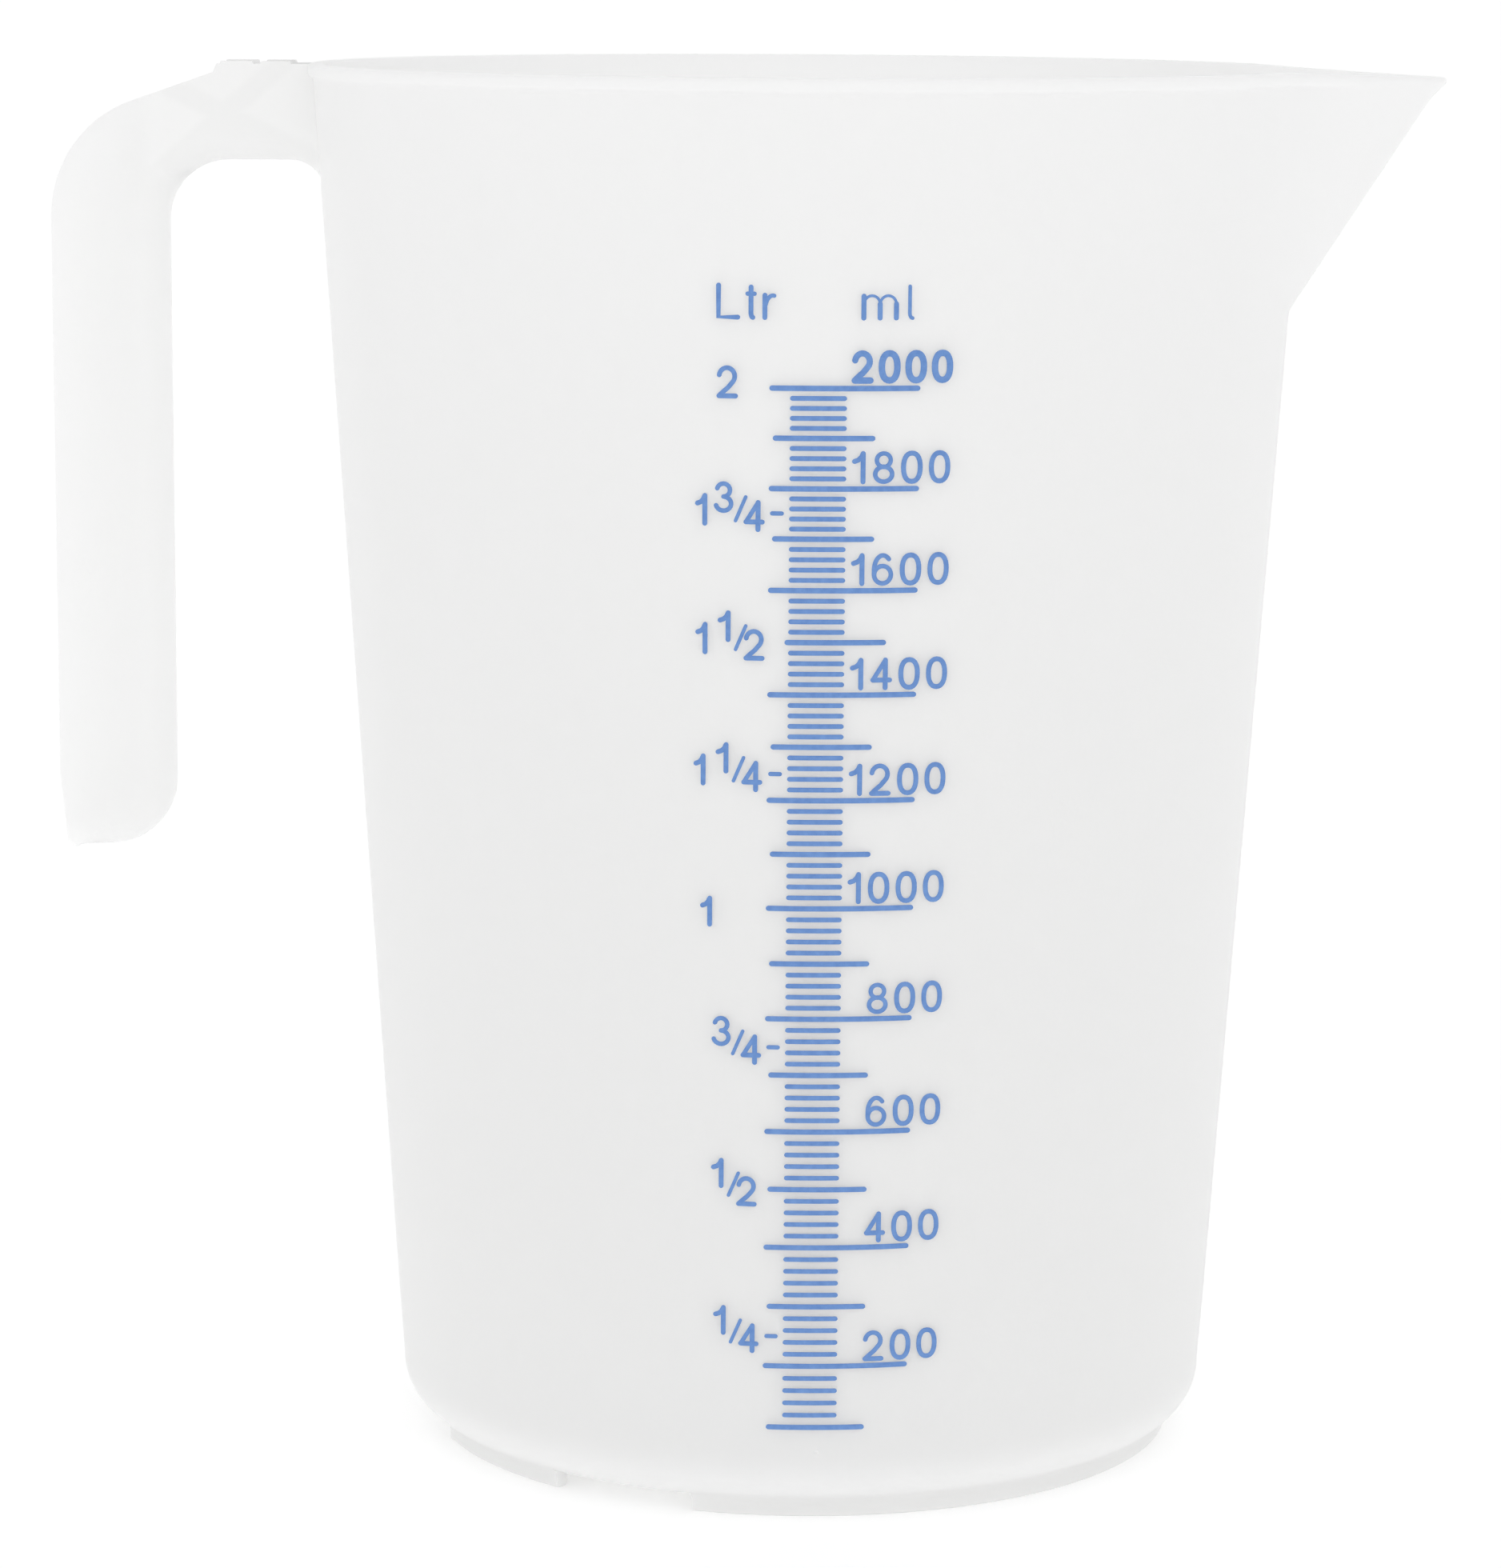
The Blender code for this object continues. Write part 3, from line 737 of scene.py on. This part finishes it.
def printed_scale(look):
    """Lines, numerals, ticks and dashes. The printed lines and dashes stand in for the CAD's plain ones."""
    lines = {ml: line_height(f"line_{ml:04d}_ml") for ml in range(100, 2001, 100)}
    for ml, z in lines.items():
        ends = MEDIUM_LINE if ml % 200 else LONG_LINE
        if ml == ODD_LINE:
            ends = ODD_LINE_ENDS
        node = f"line_{ml:04d}_ml"
        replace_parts(ink_piece(f"printed_{node}", line_polygons(ends, z, LINE_WEIGHT), look), node)
        if ml % 200 == 0:
            weight = BOLD_WEIGHT if ml == 2000 else WEIGHT
            ink_piece(f"numeral_{ml:04d}", numeral(str(ml), z, weight), look)
        if ml < 2000:
            step = (lines[ml + 100] - z) / (TICKS_PER_STEP + 1)
            ticks = []
            for i in range(1, TICKS_PER_STEP + 1):
                ticks += line_polygons(TICK, z + step * i, TICK_WEIGHT)
            ink_piece(f"ticks_{ml:04d}_{ml + 100:04d}", ticks, look)
    for ml in (250, 750, 1250, 1750):
        node = f"dash_{ml:04d}_ml"
        dash = line_polygons(DASH, line_height(node), DASH_WEIGHT)
        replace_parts(ink_piece(f"printed_{node}", dash, look), node)


def fraction(z, whole, numerator, denominator, left):
    """A litre mark such as 1 3/4 in the left column; left is where its numerator starts."""
    polygons = []
    if whole:
        polygons += glyph_polygons("1", left - 3.0, z - 1.9, 1.7, 4.5, WEIGHT)
    narrow = 1.8 if numerator == "1" else 2.8
    polygons += glyph_polygons(numerator, left + (2.0 - narrow) / 2, z - 0.1, narrow, 4.4, WEIGHT)
    polygons += glyph_polygons("/", left + 2.3, z - 1.4, 2.0, 3.9, SLASH_WEIGHT)
    polygons += glyph_polygons(denominator, left + 3.7, z - 2.6, 2.9, 4.4, WEIGHT)
    return polygons


def litre_column(look):
    """The unit letters, and the litre marks down the left."""
    ink_piece("unit_ltr", litre_letters(), look)
    ink_piece("unit_ml", millilitre_letters(), look)
    two = glyph_polygons("2", -13.2, line_height("line_2000_ml") - 1.5, 2.95, 4.5, WEIGHT)
    ink_piece("litres_2", two, look)
    one = glyph_polygons("1", -15.2, line_height("line_1000_ml") - 2.9, 1.7, 4.4, WEIGHT)
    ink_piece("litres_1", one, look)
    ink_piece("litres_1_3_4", fraction(line_height("dash_1750_ml"), True, "3", "4", -13.1), look)
    ink_piece("litres_1_1_2", fraction(line_height("line_1500_ml"), True, "1", "2", -13.0), look)
    ink_piece("litres_1_1_4", fraction(line_height("dash_1250_ml"), True, "1", "4", -13.2), look)
    ink_piece("litres_3_4", fraction(line_height("dash_0750_ml"), False, "3", "4", -13.1), look)
    ink_piece("litres_1_2", fraction(line_height("line_0500_ml"), False, "1", "2", -13.6), look)
    ink_piece("litres_1_4", fraction(line_height("dash_0250_ml"), False, "1", "4", -13.2), look)


def litre_letters():
    z = line_height("line_2000_ml") + UNITS_LIFT
    polygons = glyph_polygons("L", -13.3, z, 3.3, 4.95, TICK_WEIGHT)
    polygons += glyph_polygons("t", -9.35, z, 1.6, 4.75, TICK_WEIGHT)
    return polygons + glyph_polygons("r", -7.0, z, 2.1, 3.8, TICK_WEIGHT)


def millilitre_letters():
    z = line_height("line_2000_ml") + UNITS_LIFT
    polygons = glyph_polygons("m", 6.3, z, 5.1, 3.75, WEIGHT)
    return polygons + glyph_polygons("l", 12.4, z, 1.4, 4.9, SLASH_WEIGHT)


# ---------------------------------------------------------------- materials


MIX_A, MIX_B, MIX_RESULT = 6, 7, 2  # a Mix node's colour sockets


def node_material(name):
    made = bpy.data.materials.new(name)
    made.use_nodes = True
    tree = made.node_tree
    return made, tree, tree.nodes["Principled BSDF"]


def add(tree, kind, **inputs):
    """A node with values on its inputs, named with _ for a space."""
    node = tree.nodes.new(kind)
    for key, value in inputs.items():
        node.inputs[key.replace("_", " ")].default_value = value
    return node


def spread(node, colours):
    """Two colours over the middle of a colour ramp, where a noise has most of its values."""
    for element, colour, position in zip(node.color_ramp.elements, colours, (0.3, 0.7)):
        element.color = colour
        element.position = position


def calculate(tree, operation, *values):
    """A Math node on numbers or sockets."""
    node = tree.nodes.new("ShaderNodeMath")
    node.operation = operation
    for socket, value in zip(node.inputs, values):
        if isinstance(value, (int, float)):
            socket.default_value = value
        else:
            tree.links.new(value, socket)
    return node.outputs[0]


def ramp(tree, value, low, high):
    """0 at low and 1 at high, smooth between."""
    node = tree.nodes.new("ShaderNodeMapRange")
    node.interpolation_type = "SMOOTHSTEP"
    tree.links.new(value, node.inputs["Value"])
    node.inputs["From Min"].default_value = low
    node.inputs["From Max"].default_value = high
    return node.outputs[0]


def both(tree, *masks):
    """The product of several masks."""
    made = masks[0]
    for mask in masks[1:]:
        made = calculate(tree, "MULTIPLY", made, mask)
    return made


def above_line(tree, x, z, ends):
    """Signed distance above the line through two XZ points, seen from the handle's side."""
    (x0, z0), (x1, z1) = ((px + AXIS_X, pz) for px, pz in ends)
    length = math.hypot(x1 - x0, z1 - z0)
    nx, nz = (z1 - z0) / length, (x0 - x1) / length
    upward = calculate(tree, "MULTIPLY_ADD", z, nz, -(nx * x0 + nz * z0))
    return calculate(tree, "MULTIPLY_ADD", x, nx, upward)


def plastic_material():
    """Natural polypropylene: milky and satin, with faint flow streaks and a fine grain.

    Masks by place paint shade into the colour: the arm greyer and without scatter inside, the ribs that show
    through it and the part below them darker still, and the foot and the spout darker.
    """
    made, tree, shader = node_material("natural_polypropylene")
    shader.inputs["IOR"].default_value = 1.49
    shader.inputs["Subsurface Radius"].default_value = (1.0, 1.0, 1.0)
    shader.inputs["Subsurface Scale"].default_value = SCATTER
    place = tree.nodes.new("ShaderNodeTexCoord")
    apart = tree.nodes.new("ShaderNodeSeparateXYZ")
    stretch = add(tree, "ShaderNodeMapping", Scale=(60.0, 60.0, 3.0))
    streaks = add(tree, "ShaderNodeTexNoise", Scale=1.0, Detail=3.0, Roughness=0.55)
    tint = tree.nodes.new("ShaderNodeValToRGB")
    spread(tint, TINTS)
    satin = add(tree, "ShaderNodeMapRange", From_Min=0.3, From_Max=0.7, To_Min=0.36, To_Max=0.44)
    grain = add(tree, "ShaderNodeTexNoise", Scale=1400.0, Detail=2.0)
    bump = add(tree, "ShaderNodeBump", Strength=0.12, Distance=0.0002)
    link = tree.links.new
    link(place.outputs["Object"], apart.inputs[0])
    link(place.outputs["Object"], stretch.inputs["Vector"])
    link(stretch.outputs["Vector"], streaks.inputs["Vector"])
    link(streaks.outputs["Fac"], tint.inputs["Fac"])
    link(streaks.outputs["Fac"], satin.inputs["Value"])
    link(satin.outputs["Result"], shader.inputs["Roughness"])
    link(place.outputs["Object"], grain.inputs["Vector"])
    link(grain.outputs["Fac"], bump.inputs["Height"])
    link(bump.outputs["Normal"], shader.inputs["Normal"])
    x, _, z = apart.outputs
    # Painted shade on the arm, which also scatters no light inside
    beside_cup, before_grip = ramp(tree, x, *ARM_BESIDE_CUP), ramp(tree, x, *ARM_BEFORE_GRIP)
    arm = both(tree, beside_cup, before_grip, ramp(tree, z, *ARM_ABOVE))
    # Painted shade: darker on the ribs and below them, where thick plastic lets less light through
    sides = [above_line(tree, x, z, line) for line in RIB_LINES]
    ribs = [ramp(tree, calculate(tree, "ABSOLUTE", d), *RIB_EDGE) for d in sides]
    under = both(tree, *(ramp(tree, d, *UNDER_RIBS) for d in sides))
    painted_rib_shade = both(tree, arm, calculate(tree, "MAXIMUM", under, calculate(tree, "MAXIMUM", *ribs)))
    # Painted shade: darker towards the bottom of the foot, in place of the shade under the jug
    foot = ramp(tree, z, *FOOT_SHADE)
    # Painted shade: the spout darker, to hold down the light its thin walls let through
    spout = ramp(tree, x, *SPOUT_SHADE)
    link(calculate(tree, "SUBTRACT", 1.0, arm), shader.inputs["Subsurface Weight"])
    colour = tint.outputs["Color"]
    # Each mask mixes a painted shade into the plastic's colour
    for mask, grey in ((arm, ARM_PAINTED_SHADE), (painted_rib_shade, RIB_PAINTED_SHADE), (foot, FOOT_PAINTED_SHADE), (spout, SPOUT_PAINTED_SHADE)):
        mix = tree.nodes.new("ShaderNodeMix")
        mix.data_type = "RGBA"
        link(mask, mix.inputs["Factor"])
        link(colour, mix.inputs[MIX_A])
        mix.inputs[MIX_B].default_value = (grey, grey, grey - WARMTH, 1)
        colour = mix.outputs[MIX_RESULT]
    link(colour, shader.inputs["Base Color"])
    return made


def ink_material():
    """Screen-printed blue ink, slightly uneven in density."""
    made, tree, shader = node_material("blue_ink")
    shader.inputs["Roughness"].default_value = 0.5
    place = tree.nodes.new("ShaderNodeTexCoord")
    cover = add(tree, "ShaderNodeTexNoise", Scale=900.0, Detail=3.0, Roughness=0.6)
    tint = tree.nodes.new("ShaderNodeValToRGB")
    spread(tint, INKS)
    link = tree.links.new
    link(place.outputs["Object"], cover.inputs["Vector"])
    link(cover.outputs["Fac"], tint.inputs["Fac"])
    link(tint.outputs["Color"], shader.inputs["Base Color"])
    return made


# ---------------------------------------------------------------- studio


def floor():
    bm = bmesh.new()
    bmesh.ops.create_grid(bm, x_segments=1, y_segments=1, size=FLOOR_REACH)
    obj = object_from(bm, "studio_floor")
    made, _, shader = node_material("white_paper")
    shader.inputs["Base Color"].default_value = (0.95, 0.95, 0.95, 1)
    shader.inputs["Roughness"].default_value = 0.9
    shader.inputs["Emission Color"].default_value = (1, 1, 1, 1)
    shader.inputs["Emission Strength"].default_value = FLOOR_GLOW
    obj.data.materials.append(made)


def studio():
    """The floor and a white surround, brightest at the camera's side, darker overhead and at the sides."""
    scene = bpy.context.scene
    scene.view_settings.view_transform = "Standard"
    world = bpy.data.worlds.new("white_studio")
    world.use_nodes = True
    tree = world.node_tree
    place = tree.nodes.new("ShaderNodeTexCoord")
    apart = tree.nodes.new("ShaderNodeSeparateXYZ")
    fade = add(tree, "ShaderNodeMapRange", From_Min=0.0, From_Max=1.0, To_Min=HORIZON, To_Max=ZENITH)
    tree.links.new(place.outputs["Generated"], apart.inputs[0])
    tree.links.new(apart.outputs["Z"], fade.inputs["Value"])
    front = ramp(tree, apart.outputs["Y"], -0.3, -1.0)
    strength = calculate(tree, "MULTIPLY_ADD", front, FRONT, fade.outputs["Result"])
    aside = ramp(tree, calculate(tree, "ABSOLUTE", apart.outputs["X"]), 0.4, 1.0)
    strength = calculate(tree, "MULTIPLY_ADD", aside, -SIDES, strength)
    tree.links.new(strength, tree.nodes["Background"].inputs["Strength"])
    tree.nodes["Background"].inputs["Color"].default_value = (1, 1, 1, 1)
    scene.world = world
    scene.cycles.max_bounces = BOUNCES
    scene.cycles.diffuse_bounces = BOUNCES
    scene.cycles.transmission_bounces = BOUNCES
    floor()


def camera():
    data = bpy.data.cameras.new("camera")
    data.lens = CAMERA_LENS
    data.sensor_width = 36.0
    data.sensor_fit = "HORIZONTAL"
    data.clip_end = 100.0
    obj = bpy.data.objects.new("camera", data)
    pitch = Matrix.Rotation(CAMERA_PITCH, 4, "X")
    roll = Matrix.Rotation(CAMERA_ROLL, 4, "Z")
    obj.matrix_world = Matrix.Translation(CAMERA_PLACE) @ pitch @ roll
    bpy.context.scene.collection.objects.link(obj)
    bpy.context.scene.camera = obj


camera()
studio()
jug = moulding()
jug.data.materials.append(plastic_material())
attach(jug, "root")
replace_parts(jug, "jug_moulding")
ink = ink_material()
printed_scale(ink)
litre_column(ink)

bpy.context.view_layer.update()
